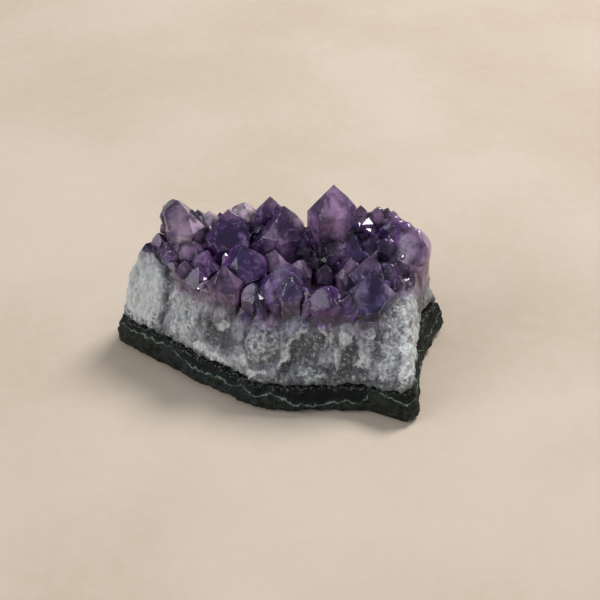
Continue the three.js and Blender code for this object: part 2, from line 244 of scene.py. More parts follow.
# Small points with a face that looks along MIRROR: the middle of that face, how wide it is, how far it is
# drawn out, and which way the point leans (degrees about MIRROR).
MIRROR = Vector((0.330, -0.170, 0.928))
GLINTS = [
    (16.2, 9.4, 26.6, 2.9, 1.0, 170),
    (15.0, 8.9, 25.9, 2.2, 1.1, 215),
    (16.6, 8.3, 25.6, 1.5, 1.0, 120),
    (-20.6, -3.0, 23.2, 1.6, 1.2, 200),
    (-19.6, -2.4, 23.9, 1.0, 1.4, 150),
    (4.9, 4.2, 23.9, 1.8, 1.9, 95),
    (6.3, 5.0, 24.0, 1.2, 1.4, 100),
    (24.1, 3.5, 23.7, 0.8, 1.0, 190),
    (-9.7, -2.5, 23.2, 1.0, 1.2, 60),
    (-12.7, -7.6, 20.6, 1.0, 1.2, 200),
    (-13.4, -9.8, 19.8, 0.7, 1.0, 160),
    (-9.0, -12.4, 15.2, 1.2, 1.0, 180),
]

SMALL_POINTS = 90  # how many small ones sit in the valleys
SMALL_GAP = 1.7  # how far apart at least
SMALL_ACROSS = (0.9, 1.9)  # how wide they are
SMALL_LENGTH = 2.6  # how far they reach down from their tips, in widths


def noise_tables():
    """A shuffled row of 0 to 255 and a random direction for each."""
    random = np.random.RandomState(7)
    ways = random.normal(size=(256, 3))
    return random.permutation(256), ways / np.linalg.norm(ways, axis=1)[:, None]


SHUFFLE, WAYS = noise_tables()


def smooth_noise(places):
    """Gradient noise of about -1 to 1 at each place, with features about one unit across."""
    cell = np.floor(places).astype(int)
    part = places - cell
    ease = part**3 * (part * (part * 6 - 15) + 10)
    total = np.zeros(len(places))
    for corner in np.ndindex(2, 2, 2):
        x, y, z = (cell + corner).T & 255
        way = WAYS[SHUFFLE[(SHUFFLE[(SHUFFLE[x] + y) & 255] + z) & 255]]
        share = np.prod(np.where(np.array(corner) == 1, ease, 1 - ease), axis=1)
        total += share * np.einsum("ij,ij->i", way, part - corner)
    return 1.8 * total


def fractal(places, size, octaves=3, seed=0.0):
    """Noise at places in millimetres, with features of the given size and finer ones on them."""
    at = places / size + np.array([seed, -0.7 * seed, 0.3 * seed])
    total = np.zeros(len(places))
    for octave in range(octaves):
        total += smooth_noise(at * 2**octave + 17.3 * octave) / 2**octave
    return total


def between(value, low, high):
    """0 below low, 1 above high and a smooth step between."""
    share = np.clip((value - low) / (high - low), 0, 1)
    return share * share * (3 - 2 * share)


def drawn(outline, along):
    """The second values of an outline's points, read off at places along the first."""
    return np.interp(along, *zip(*outline))


def direction(angle):
    return Vector((math.cos(angle), math.sin(angle), 0))


# The solids.


def solid_arrays(node):
    """A solid's points in millimetres and its triangles, with corners that share a place joined."""
    mesh = node.data
    points = np.empty(3 * len(mesh.vertices), np.float32)
    mesh.vertices.foreach_get("co", points)
    points = points.reshape(-1, 3).astype(float) / MM
    triangles = np.array([tuple(p.vertices) for p in mesh.polygons])
    _, first, where = np.unique(np.round(points, 4), axis=0, return_index=True, return_inverse=True)
    triangles = where.reshape(-1)[triangles]
    a, b, c = triangles.T
    return points[first], triangles[(a != b) & (b != c) & (c != a)]


class Solid:
    """A solid to cast rays at, in millimetres."""

    def __init__(self, node):
        points, triangles = solid_arrays(node)
        self.tree = BVHTree.FromPolygons([tuple(p) for p in points], [tuple(t) for t in triangles])

    def wall(self, angle, z):
        """Distance from the axis to the outermost surface in a direction, or None."""
        way = direction(angle)
        hit = self.tree.ray_cast(way * FAR + Vector((0, 0, z)), -way)[0]
        return None if hit is None or hit.x * way.x + hit.y * way.y < 0 else hit.xy.length

    def top(self, x, y):
        """Height of the uppermost surface over a point, or None."""
        hit = self.tree.ray_cast(Vector((x, y, FAR)), Vector((0, 0, -1)))[0]
        return None if hit is None else hit.z


def even_angles(solid, z, count):
    """Directions whose points on the outline at height z are evenly spaced along it."""
    angles = np.linspace(0, 2 * math.pi, 1441)
    radii = np.array([solid.wall(a, z) for a in angles], float)
    xy = np.stack([radii * np.cos(angles), radii * np.sin(angles)], 1)
    along = np.concatenate([[0], np.cumsum(np.linalg.norm(np.diff(xy, axis=0), axis=1))])
    return np.interp(np.arange(count) * along[-1] / count, along, angles)


def smooth_ring(values, reach):
    """A running mean round a closed ring."""
    kernel = np.ones(2 * reach + 1) / (2 * reach + 1)
    wrapped = np.concatenate([values[-reach:], values, values[:reach]])
    return np.convolve(wrapped, kernel, "valid")


# Making a piece.


def mark_sharp(mesh, sharp):
    """Keeps the shading of the mesh apart at some edges, given as sorted pairs of points."""
    pairs = np.empty(2 * len(mesh.edges), np.int32)
    mesh.edges.foreach_get("vertices", pairs)
    pairs = np.sort(pairs.reshape(-1, 2).astype(np.int64), axis=1)
    count = len(mesh.vertices)
    numbers = pairs[:, 0] * count + pairs[:, 1]
    wanted = sharp[:, 0].astype(np.int64) * count + sharp[:, 1]
    layer = mesh.attributes.new("sharp_edge", "BOOLEAN", "EDGE")
    layer.data.foreach_set("value", np.isin(numbers, wanted))


def make_piece(name, points, faces, attributes, material, node, sharp=None):
    """A smooth mesh from points in millimetres, with its attributes (name: domain, values), its material,
    the solid that it is shown for and its sharp edges."""
    mesh = bpy.data.meshes.new(name)
    mesh.from_pydata((points * MM).tolist(), [], faces.tolist())
    for key, (domain, values) in attributes.items():
        values = np.asarray(values, np.float32)
        kind, field = ("FLOAT", "value") if values.ndim == 1 else ("FLOAT_COLOR", "color")
        layer = mesh.attributes.new(key, kind, domain)
        layer.data.foreach_set(field, values.reshape(-1))
    mesh.polygons.foreach_set("use_smooth", np.ones(len(mesh.polygons), bool))
    if sharp is not None:
        mark_sharp(mesh, sharp)
    mesh.update()
    mesh.materials.append(material)
    piece = bpy.data.objects.new(name, mesh)
    bpy.context.scene.collection.objects.link(piece)
    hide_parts(node)
    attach(piece, "root")


# Helpers for the materials.


def new_material(name):
    material = bpy.data.materials.new(name)
    material.use_nodes = True
    nodes = material.node_tree.nodes
    nodes.clear()
    output = nodes.new("ShaderNodeOutputMaterial")
    shader = nodes.new("ShaderNodeBsdfPrincipled")
    material.node_tree.links.new(shader.outputs["BSDF"], output.inputs["Surface"])
    return material, shader, output


class Graph:
    """Short names for the shader nodes used here."""

    def __init__(self, material):
        self.tree = material.node_tree
        self.place = self.tree.nodes.new("ShaderNodeTexCoord").outputs["Object"]

    def put(self, socket, value):
        """Links a socket to another node's output, or sets its value."""
        if isinstance(value, bpy.types.NodeSocket):
            self.tree.links.new(value, socket)
        else:
            socket.default_value = value

    def node(self, kind, inputs, **settings):
        made = self.tree.nodes.new(kind)
        for key, value in settings.items():
            setattr(made, key, value)
        for key, value in inputs.items():
            self.put(made.inputs[key], value)
        return made

    def stretched(self, x, y, z):
        """Object coordinates scaled along each axis."""
        return self.node("ShaderNodeMapping", {"Vector": self.place, "Scale": (x, y, z)}).outputs[0]

    def noise(self, size, detail=3.0, rough=0.5, distortion=0.0, place=None):
        """Noise of about 0 to 1 with features of the given size in millimetres."""
        inputs = {
            "Vector": place or self.place,
            "Scale": 1 / (size * MM),
            "Detail": detail,
            "Roughness": rough,
            "Distortion": distortion,
        }
        return self.node("ShaderNodeTexNoise", inputs).outputs["Fac"]

    def value(self, name):
        return self.node("ShaderNodeAttribute", {}, attribute_name=name).outputs["Fac"]

    def colour(self, name):
        return self.node("ShaderNodeAttribute", {}, attribute_name=name).outputs["Color"]

    def math(self, operation, *values):
        made = self.node("ShaderNodeMath", {}, operation=operation)
        for socket, value in zip(made.inputs, values):
            self.put(socket, value)
        return made.outputs[0]

    def times(self, a, b):
        return self.math("MULTIPLY", a, b)

    def sum(self, base, value, factor):
        """base + factor * value."""
        return self.math("MULTIPLY_ADD", value, factor, base)

    def swung(self, base, noise, factor):
        """base, raised where the noise is above its middle and lowered where it is below."""
        return self.sum(base, self.math("ADD", noise, -0.5), factor)

    def ramp(self, value, low, high, to_low=0.0, to_high=1.0):
        """value from low..high to to_low..to_high, held at the ends, with a smooth step."""
        inputs = {"Value": value, "From Min": low, "From Max": high, "To Min": to_low, "To Max": to_high}
        return self.node("ShaderNodeMapRange", inputs, interpolation_type="SMOOTHSTEP").outputs[0]

    def mix(self, share, a, b, blend="MIX"):
        """From colour a to colour b."""
        made = self.node("ShaderNodeMix", {}, data_type="RGBA", blend_type=blend)
        self.put(made.inputs[0], share)
        for socket, colour in ((made.inputs[6], a), (made.inputs[7], b)):
            self.put(socket, colour if isinstance(colour, bpy.types.NodeSocket) else (*colour, 1))
        return made.outputs[2]

    def bump(self, height, distance, strength):
        inputs = {"Height": height, "Distance": distance * MM, "Strength": strength}
        return self.node("ShaderNodeBump", inputs).outputs[0]


# Materials.


def rock_material():
    """Dark green-black rock: a lighter mottled crust below the agate line, smoother and darker above it. Its
    foot is painted darker towards the floor as painted contact shade.
    """
    material, shader, _ = new_material("matrix_rock_look")
    graph = Graph(material)
    off_line = graph.value("off_line")
    wander = graph.math("ADD", graph.noise(1.1, 4.0, 0.6), -0.5)
    distance = graph.math("ABSOLUTE", graph.sum(off_line, wander, 1.5))
    line = graph.ramp(distance, 0.03, 0.20, 1.0, 0.0)
    broken = graph.ramp(graph.noise(2.0, 3.0), 0.34, 0.58, 0.2, 1.0)
    line = graph.times(line, broken)
    halo = graph.ramp(distance, 0.0, 1.1, 1.0, 0.0)
    blotch = graph.noise(1.4, 5.0, 0.65)
    grit = graph.noise(0.35, 3.0, 0.6)
    crust = graph.mix(graph.ramp(blotch, 0.35, 0.68), (0.004, 0.006, 0.005), (0.032, 0.041, 0.037))
    crust = graph.mix(graph.ramp(grit, 0.55, 0.75, 0.0, 0.5), crust, (0.085, 0.090, 0.075))
    band = graph.mix(graph.ramp(blotch, 0.40, 0.72), (0.0012, 0.0022, 0.0022), (0.005, 0.009, 0.008))
    colour = graph.mix(graph.ramp(off_line, -0.3, 0.7), band, crust)
    colour = graph.mix(graph.times(halo, 0.30), colour, (0.022, 0.060, 0.045))
    colour = graph.mix(graph.times(line, 0.62), colour, (0.36, 0.43, 0.39))
    crumbs = graph.ramp(graph.noise(0.5, 3.0, 0.6), 0.50, 0.62)
    seam = graph.ramp(graph.sum(graph.value("below"), wander, 2.6), -0.1, 0.8, 1.0, 0.0)
    colour = graph.mix(graph.times(graph.times(seam, crumbs), 0.45), colour, (0.28, 0.30, 0.29))
    # Painted shade: the colour is darkened within about 1.4 mm of the floor, as the contact shade under the
    # foot.
    foot = graph.ramp(graph.value("height"), 0.0, 1.4, 0.25, 1.0)
    shade = graph.mix(foot, (0.0, 0.0, 0.0), (1.0, 1.0, 1.0))
    graph.put(shader.inputs["Base Color"], graph.mix(1.0, colour, shade, "MULTIPLY"))
    graph.put(shader.inputs["Roughness"], graph.ramp(blotch, 0.3, 0.7, 0.40, 0.7))
    shader.inputs["Specular IOR Level"].default_value = 0.18
    relief = graph.sum(graph.noise(0.9, 6.0, 0.65), graph.noise(0.22, 2.0), 0.35)
    graph.put(shader.inputs["Normal"], graph.bump(relief, 0.35, 0.8))
    return material


def wall_colour(graph):
    """Broken quartz: clear and grey where it is sound, white where it is full of cracks and crumbs. Its
    upright streaks and lines are given back too."""
    streaks = graph.noise(1.6, 5.0, 0.62, 0.4, graph.stretched(1, 1, 0.32))
    lines = graph.noise(0.6, 3.0, 0.5, 0.6, graph.stretched(1, 1, 0.34))
    crumbs = graph.noise(0.70, 5.0, 0.62)
    fine = graph.noise(0.30, 3.0, 0.6)
    grey = graph.mix(graph.ramp(streaks, 0.34, 0.66), (0.090, 0.092, 0.112), (0.41, 0.42, 0.46))
    grey = graph.mix(graph.ramp(lines, 0.52, 0.70, 0.0, 0.40), grey, (0.50, 0.51, 0.52))
    pale = graph.mix(graph.ramp(lines, 0.35, 0.65), (0.51, 0.54, 0.55), (0.78, 0.80, 0.80))
    whiteness = graph.swung(graph.swung(graph.value("white"), fine, 0.7), crumbs, 2.0)
    colour = graph.mix(graph.ramp(whiteness, 0.24, 0.80, 0.0, 0.95), grey, pale)
    depth = graph.swung(graph.swung(graph.value("dark"), fine, -0.6), crumbs, -1.7)
    colour = graph.mix(graph.ramp(depth, 0.30, 0.75, 0.0, 0.78), colour, (0.032, 0.033, 0.040))
    grains = graph.math("ADD", graph.times(crumbs, 0.6), graph.times(fine, 0.4))
    colour = graph.mix(graph.ramp(grains, 0.56, 0.63, 0.0, 0.8), colour, (0.62, 0.63, 0.62))
    smut = graph.swung(graph.value("low"), crumbs, -1.8)
    colour = graph.mix(graph.ramp(smut, 0.50, 0.95, 0.0, 0.75), colour, (0.016, 0.022, 0.020))
    return colour, streaks, lines


def point_colour(graph, veil):
    """Purple quartz: each face a little lighter or darker, with dark and pale veils inside, painted shade in
    the valleys and along the corners, and pale chipped corners that are partly a painted highlight."""
    face_tone = graph.mix(graph.value("facet"), (0.54, 0.53, 0.60), (1.40, 1.36, 1.40))
    colour = graph.mix(1.0, graph.colour("tint"), face_tone, "MULTIPLY")
    colour = graph.mix(graph.ramp(veil, 0.26, 0.58, 0.85, 0.0), colour, (0.022, 0.010, 0.050))
    colour = graph.mix(graph.ramp(veil, 0.52, 0.74, 0.0, 0.4), colour, (0.50, 0.35, 0.60))
    wisp = graph.noise(1.1, 4.0, 0.55, 1.8)
    colour = graph.mix(graph.ramp(wisp, 0.60, 0.68, 0.0, 0.35), colour, (0.60, 0.48, 0.68))
    # Painted shade: the valleys between the points are darkened.
    colour = graph.mix(graph.times(graph.value("valley"), 0.75), colour, (0.012, 0.006, 0.024))
    edge = graph.value("edge")
    # Painted shade: a dark rim along the corners of the points.
    rim_painted_shade = graph.times(edge, graph.ramp(graph.noise(2.4, 3.0), 0.44, 0.56))
    colour = graph.mix(graph.times(rim_painted_shade, 0.40), colour, (0.05, 0.03, 0.08))
    # Pale chips on the corners: partly real chipped quartz, partly a painted highlight along the edges.
    chips_and_edge_highlight = graph.ramp(graph.noise(0.9, 3.0), 0.50, 0.60, 0.0, 0.55)
    chips_and_edge_highlight = graph.times(graph.ramp(edge, 0.70, 0.95), chips_and_edge_highlight)
    return graph.mix(chips_and_edge_highlight, colour, (0.66, 0.63, 0.72))


def quartz_material():
    """Quartz from its grey broken root to its purple points. The points are see-through by plain
    transmission and absorption, and clouded in places."""
    material, shader, output = new_material("amethyst_look")
    graph = Graph(material)
    violet = graph.value("violet")
    veil = graph.noise(2.6, 3.0, 0.55, 0.8)
    etch = graph.noise(0.5, 4.0, 0.6)
    root, streaks, lines = wall_colour(graph)
    graph.put(shader.inputs["Base Color"], graph.mix(violet, root, point_colour(graph, veil)))

    clear = graph.times(graph.value("clear"), graph.ramp(violet, 0.25, 1.0))
    clear = graph.times(clear, graph.ramp(veil, 0.48, 0.70, 1.0, 0.6))
    graph.put(shader.inputs["Transmission Weight"], clear)
    shader.inputs["IOR"].default_value = 1.544

    polish = graph.value("polish")
    rugged = graph.math("SUBTRACT", 1.0, violet)
    etched = graph.ramp(etch, 0.35, 0.75, 0.03, 0.19)
    etched = graph.times(etched, graph.sum(1.0, polish, -0.75))
    broken = graph.ramp(streaks, 0.3, 0.7, 0.20, 0.5)
    graph.put(shader.inputs["Roughness"], graph.sum(etched, rugged, broken))

    steps = graph.noise(1.0, 3.0, 0.5, 0.5, graph.stretched(0.45, 0.45, 3.2))
    growth = graph.sum(graph.times(etch, 0.22), steps, 0.42)
    growth = graph.times(growth, graph.sum(1.0, polish, -0.85))
    crumble = graph.sum(graph.times(graph.noise(0.6, 6.0, 0.65), 1.8), lines, 0.6)
    height = graph.sum(graph.times(crumble, rugged), growth, violet)
    graph.put(shader.inputs["Normal"], graph.bump(height, 0.22, 0.7))

    absorb = graph.node("ShaderNodeVolumeAbsorption", {})
    absorb.inputs["Color"].default_value = (0.50, 0.22, 0.68, 1)
    absorb.inputs["Density"].default_value = 110.0
    graph.tree.links.new(absorb.outputs[0], output.inputs["Volume"])
    return material


def floor_material():
    """A plain pale floor with faint clouds and grain."""
    material, shader, _ = new_material("floor_look")
    graph = Graph(material)
    tone = graph.mix(graph.ramp(graph.noise(70.0, 3.0), 0.35, 0.65), (0.60, 0.495, 0.39), (0.67, 0.57, 0.47))
    grain = graph.ramp(graph.noise(3.0, 4.0, 0.6), 0.35, 0.7, 0.0, 0.16)
    graph.put(shader.inputs["Base Color"], graph.mix(grain, tone, (0.74, 0.66, 0.57)))
    shader.inputs["Roughness"].default_value = 0.75
    return material


# The rind of host rock.


def agate_height(places, contact):
    """The height that the agate line runs at, with its waves."""
    x, y, _ = places.T
    front = between(-y, 1.0, 6.0)
    waves = 0.45 * fractal(places, 3.6, 2, 4.1) + 0.30 * fractal(places, 1.4, 2, 9.3)
    return front * drawn(AGATE, x) + (1 - front) * (contact - AGATE_DEPTH) + waves * (1.6 - 0.6 * front)


def rind_relief(places, off):
    """How far the rock stands out from its solid, with the agate line proud of it. off is the distance below
    that line."""
    crust = np.clip(0.5 + off, 0, 1)
    relief = (0.22 + 0.16 * crust) * fractal(places, 3.2, 3, 1.0)
    relief += (0.08 + 0.16 * crust) * fractal(places, 1.0, 3, 2.0)
    return relief + 0.14 * np.exp(-((off / 0.3) ** 2))


def ring_faces(rings):
    """Triangles between rings of points, one above the other, and the fans that close them below and above.
    The middles of the two fans are numbered after all the rings."""
    here = np.arange(RIND_COLUMNS)
    beside = (here + 1) % RIND_COLUMNS
    faces = []
    for ring in range(rings - 1):
        low = ring * RIND_COLUMNS
        high = low + RIND_COLUMNS
        faces.append(np.stack([low + here, low + beside, high + beside], 1))
        faces.append(np.stack([low + here, high + beside, high + here], 1))
    last = (rings - 1) * RIND_COLUMNS
    middle = np.full(RIND_COLUMNS, rings * RIND_COLUMNS)
    faces.append(np.stack([middle, beside, here], 1))
    faces.append(np.stack([middle + 1, last + here, last + beside], 1))
    return np.concatenate(faces)


def rock_rind(solid):
    """The rind of host rock: rings up its side, from the foot to where the quartz begins, then a few more in
    under the quartz."""
    angles = even_angles(solid, RIND_BELLY, RIND_COLUMNS)
    ways = np.stack([np.cos(angles), np.sin(angles), np.zeros(RIND_COLUMNS)], 1)
    belly = np.array([solid.wall(a, RIND_BELLY) for a in angles])
    contact = np.array([solid.top(*(way[:2] * (r - RIND_EDGE))) for way, r in zip(ways, belly)], float)
    contact = smooth_ring(contact, 6)
    outline = ways * belly[:, None]
    line = agate_height(outline, contact)
    ragged = 0.35 * fractal(outline, 1.6, 3, 5.5)
    rings, below, off_line = [], [], []
    for share in [0.0, *np.linspace(0.02, 1.0, RIND_ROWS)]:
        z = 0.1 + (contact - 0.2) * share
        radius = np.array([solid.wall(a, h) for a, h in zip(angles, z)], float)
        places = ways * radius[:, None]
        places[:, 2] = z
        relief = rind_relief(places, line - z)
        if share == 0.0:
            places[:, 2] = 0
            relief[:] = -0.5
        places[:, 2] += ragged * between(share, 0.75, 1.0)
        rings.append(places + ways * relief[:, None])
        below.append(contact - z)
        off_line.append(line - z)
    radius = np.linalg.norm(rings[-1][:, :2], axis=1)
    for inset in RIND_INSETS:
        places = ways * (radius - inset)[:, None]
        tops = [solid.top(x, y) for x, y, _ in places]
        places[:, 2] = [start if top is None else top for top, start in zip(tops, contact)]
        places[:, 2] += 0.05
        rings.append(places)
        below.append(np.zeros(RIND_COLUMNS))
        off_line.append(np.full(RIND_COLUMNS, -3.0))
    faces = ring_faces(len(rings))
    points = np.concatenate([*rings, [[0, 0, 0], [0, 0, solid.top(0, 0)]]])
    attributes = {
        "below": ("POINT", np.concatenate([*below, [6.0, 0.0]])),
        "off_line": ("POINT", np.concatenate([*off_line, [3.0, -3.0]])),
        "height": ("POINT", points[:, 2]),
    }
    make_piece("rock_rind", points, faces, attributes, rock_material(), "matrix_rock")


# The quartz: working on its mesh.


def edges_of(triangles):
    """Each edge once, as a sorted pair, and for each triangle the numbers of its edges ab, bc and ca."""
    pairs = np.concatenate([triangles[:, [0, 1]], triangles[:, [1, 2]], triangles[:, [2, 0]]])
    edges, which = np.unique(np.sort(pairs, axis=1), axis=0, return_inverse=True)
    return edges, which.reshape(3, -1).T


def beside_edges(of_triangle):
    """The two triangles beside each edge."""
    order = np.argsort(of_triangle.reshape(-1), kind="stable")
    return (order // 3).reshape(-1, 2)


def face_normals(points, triangles):
    a, b, c = (points[triangles[:, k]] for k in range(3))
    normals = np.cross(b - a, c - a)
    return normals / np.maximum(np.linalg.norm(normals, axis=1), 1e-12)[:, None]


def point_normals(points, triangles):
    a, b, c = (points[triangles[:, k]] for k in range(3))
    cross = np.cross(b - a, c - a)
    normals = np.empty_like(points)
    for axis in range(3):
        normals[:, axis] = sum(np.bincount(triangles[:, k], cross[:, axis], len(points)) for k in range(3))
    return normals / np.maximum(np.linalg.norm(normals, axis=1), 1e-12)[:, None]


def joined(count, pairs):
    """A number for each item, the same for items that the pairs join."""
    parent = list(range(count))

    def root(i):
        while parent[i] != i:
            parent[i] = parent[parent[i]]
            i = parent[i]
        return i

    for a, b in pairs:
        parent[root(a)] = root(b)
    return np.array([root(i) for i in range(count)])


def facets_and_crystals(points, triangles):
    """For each triangle the flat face it is in and the crystal it is in, then the edges that are corners and
    those that are valleys. Crystals meet in valleys, so one is what hangs together without crossing any."""
    edges, of_triangle = edges_of(triangles)
    normals = face_normals(points, triangles)
    centres = points[triangles].mean(axis=1)
    pairs = beside_edges(of_triangle)
    a, b = pairs.T
    bend = np.einsum("ij,ij->i", normals[a], normals[b])
    rise = np.einsum("ij,ij->i", normals[a], centres[b] - centres[a])
    facets = joined(len(triangles), pairs[bend > FLAT])
    crystals = joined(len(triangles), pairs[(bend > FLAT) | (rise < 0)])
    return facets, crystals, edges[(bend < BENT) & (rise < 0)], edges[(bend < BENT) & (rise > 0)]


def refine(points, triangles, labels, longest):
    """Halves every edge longer than longest(middles, under), round by round. Labels follow their triangles,
    and the last one says which lie on the underside."""
    for _ in range(ROUNDS):
        edges, of_triangle = edges_of(triangles)
        ends = points[edges]
        middles = ends.mean(axis=1)
        under = np.ones(len(edges), bool)
        under[of_triangle[labels[:, -1] == 0]] = False
        long = np.linalg.norm(ends[:, 0] - ends[:, 1], axis=1) > longest(middles, under)
        added = np.full(len(edges), -1)
        added[long] = len(points) + np.arange(long.sum())
        points = np.concatenate([points, middles[long]])
        mids = added[of_triangle]
        count = (mids >= 0).sum(axis=1)
        # Triangles with one or two halved edges are turned so that those come first.
        first = np.where(count == 1, np.argmax(mids >= 0, axis=1), 0)
        first = np.where(count == 2, (np.argmin(mids >= 0, axis=1) + 1) % 3, first)
        turn = (first[:, None] + np.arange(3)) % 3
        corners = np.take_along_axis(triangles, turn, 1)
        mids = np.take_along_axis(mids, turn, 1)
        (a, b, c), (ab, bc, ca) = corners.T, mids.T
        made = []
        for number, pieces in {
            0: [(a, b, c)],
            1: [(a, ab, c), (ab, b, c)],
            2: [(ab, b, bc), (a, ab, bc), (a, bc, c)],
            3: [(a, ab, ca), (ab, b, bc), (ca, bc, c), (ab, bc, ca)],
        }.items():
            here = count == number
            made += [(np.stack(piece, 1)[here], labels[here]) for piece in pieces]
        triangles = np.concatenate([piece for piece, _ in made])
        labels = np.concatenate([label for _, label in made])
    return points, triangles, labels


def eased(points, edges, times):
    """Corners rounded off: each point moves towards the middle of its neighbours, as often as times says."""
    count = np.bincount(edges.reshape(-1), minlength=len(points))
    for turn in range(int(times.max()) + 1):
        share = np.clip(times - turn, 0, 1) * 0.5
        moved = np.empty_like(points)
        for axis in range(3):
            value = points[:, axis]
            total = np.bincount(edges[:, 0], value[edges[:, 1]], len(points))
            total += np.bincount(edges[:, 1], value[edges[:, 0]], len(points))
            moved[:, axis] = value + share * (total / count - value)
        points = moved
    return points


def cells_near(points, edges, reach):
    """A test of which places lie within about reach of the edges, on a grid of cells."""
    low = points.min(axis=0) - 2
    spots = []
    for a, b in points[edges]:
        steps = int(np.linalg.norm(b - a) / (0.7 * reach)) + 2
        spots.append(a + (b - a) * np.linspace(0, 1, steps)[:, None])
    cells = ((np.concatenate(spots) - low) / reach).astype(int)
    grid = np.zeros(cells.max(axis=0) + 12, bool)
    for shift in np.ndindex(3, 3, 3):
        grid[tuple((cells + shift - 1).T)] = True

    def near(places):
        index = np.clip(((places - low) / reach).astype(int), 0, np.array(grid.shape) - 1)
        return grid[tuple(index.T)]

    return near


def nearness(points, edges, places, low, high):
    """1 for places closer than low to the edges, 0 for those further than high."""
    tree = BVHTree.FromPolygons([tuple(p) for p in points], [(int(a), int(b), int(b)) for a, b in edges])
    away = np.full(len(places), high + 1.0)
    for i, place in enumerate(places.tolist()):
        found = tree.find_nearest(place, high)
        if found[3] is not None:
            away[i] = found[3]
    return 1 - between(away, low, high)


def gathered(pieces):
    """Several meshes as one."""
    points, triangles, count = [], [], 0
    for more, faces in pieces:
        points.append(more)
        triangles.append(faces + count)
        count += len(more)
    return np.concatenate(points), np.concatenate(triangles)


# The quartz: its broken wall.


def fade_height(x, y):
    """The height at which purple gives way to grey."""
    behind = between(y, -2.0, 4.0)
    return drawn(FADE, x) * (1 - behind) + FADE_BEHIND * behind


def patch_share(patches, x, z):
    """How strongly the patches show at each place."""
    share = np.zeros(len(x))
    for px, pz, half_width, half_height, most in patches:
        inside = 1 - ((x - px) / half_width) ** 2 - ((z - pz) / half_height) ** 2
        share = np.maximum(share, most * np.clip(1.6 * inside, 0, 1))
    return share


def line_distance(x, z, corners):
    """Distance in x and z from a line through its corners."""
    nearest = np.full(len(x), FAR)
    for (ax, az), (bx, bz) in zip(corners, corners[1:]):
        length = (bx - ax) ** 2 + (bz - az) ** 2
        share = np.clip(((x - ax) * (bx - ax) + (z - az) * (bz - az)) / length, 0, 1)
        away = np.hypot(x - ax - share * (bx - ax), z - az - share * (bz - az))
        nearest = np.minimum(nearest, away)
    return nearest


def out_from(middle, x, z):
    """How far out a place is from a middle on the lump, where 1 is the lump's own half size."""
    return np.hypot((x - middle[0]) / LUMP_HALF[0], (z - middle[1]) / LUMP_HALF[1])


def front_marks(x, z):
    """Forms broken into the front of the wall: how far they stand out, how white and how dark they are. They
    are the lump with a crack round it, the hollow under the arch, and the ridges and cracks."""
    lump = out_from(LUMP, x, z)
    shells = np.sin(17.0 * out_from(LUMP_SHELLS, x, z) + 0.5 * x)
    crack = np.exp(-(((lump - 1.08) / 0.12) ** 2))
    relief = np.where(lump < 1, 0.85 * np.sqrt(np.clip(1 - lump * lump, 0, 1)) + 0.05 * shells, 0.0)
    relief -= 0.30 * crack
    white = np.where(lump < 1, 0.38 + 0.16 * shells, patch_share(WHITE_PATCHES, x, z))
    dark = np.maximum(patch_share(DARK_PATCHES, x, z), 0.5 * crack)
    inside_arch = drawn(ARCH, z) - abs(x - ARCH_MIDDLE)
    relief -= 1.1 * between(inside_arch, 0.0, 0.9) * between(z, 7.0, 8.4)
    for corners, half_width, out, tone in LINES:
        near = np.exp(-((line_distance(x, z, corners) / half_width) ** 2))
        relief += out * near
        white = np.maximum(white, tone * near)
        dark = np.maximum(dark, -tone * near)
    return relief, white, dark


def wall_relief(places, low):
    """How far the broken wall stands out from its solid: columns on the left, lumps and crumbs elsewhere.
    low is 1 at its foot."""
    x, _, _ = places.T
    along = places * (1, 1, 0.30)
    columns = 0.55 * np.abs(fractal(along, 2.4, 2, 5.0)) - 0.15
    lumps = 0.30 * fractal(places, 3.6, 2, 1.5) + 0.30 * np.abs(fractal(places, 1.7, 2, 8.5)) - 0.08
    left = between(-x, 2.0, 9.0)
    relief = left * columns + (1 - left) * (lumps + 0.4 * columns)
    relief += 0.17 * fractal(places, 0.95, 3, 6.0) + 0.10 * np.abs(fractal(along, 0.8, 2, 7.0))
    return relief + 0.35 * low * fractal(places, 1.2, 2, 3.0)


def rugged(points, normals, foot, fade):
    """The points moved out and in: the wall broken, the faces above it barely uneven. Then how low on the
    wall each is, how white and how dark."""
    x, y, z = points.T
    broken = 1 - between(z, fade - 1.5, fade + 1.5)
    low = np.clip(1 - (z - foot - 0.4 - 2.2 * (x / 32) ** 2) / 3.0, 0, 1)
    sway = 0.9 * np.stack([fractal(points, 2.4, 3, 11.0), fractal(points, 2.4, 3, 23.0)])
    sway *= 1 - 0.8 * np.exp(-((x - LUMP[0]) ** 2 + (z - LUMP[1]) ** 2) / 16)
    marks, white, dark = front_marks(x + sway[0], z + sway[1])
    front = between(-y, -1.0, 1.0)
    relief = broken * (wall_relief(points, low) + front * marks) * between(z, foot + 0.1, foot + 1.2)
    relief += (1 - broken) * 0.04 * fractal(points, 1.5, 2, 2.0)
    # Here and there the foot of the wall reaches a little down over the rock.
    hang = between(fractal(points, 1.7, 2, 31.0), -0.1, 0.7) * between(normals[:, 2], -0.7, -0.2)
    hang = 0.3 * low * broken * hang
    moved = points + normals * (relief + hang)[:, None] - np.array([0, 0, 1.0]) * hang[:, None]
    return moved, low, 0.12 + np.clip(white, 0, 1) * front * 0.88, np.clip(dark, 0, 1) * front


# The quartz: its points.


def tints(x, y, own):
    """Colour and clearness of the points at each place: the nearby spots, else the crystal's own kind."""
    kinds = np.array([[*colour, clear] for colour, clear in TINTS.values()])
    names = list(TINTS)
    total = OWN_SHARE * kinds[own]
    weight = np.full(len(x), OWN_SHARE)
    for px, py, reach, kind in TINT_SPOTS:
        away = ((x - px) ** 2 + (y - py) ** 2) / reach**2
        share = np.where(away < 4, np.exp(-1.8 * away), 0)
        total += share[:, None] * kinds[names.index(kind)]
        weight += share
    return total / weight[:, None]


def worn_at(x, y):
    """How many times the corners are eased at each place."""
    times = np.zeros(len(x))
    for px, py, reach, most in WORN:
        away = np.hypot(x - px, y - py) / reach
        times = np.maximum(times, most * np.clip(1 - away**3, 0, 1))
    return times


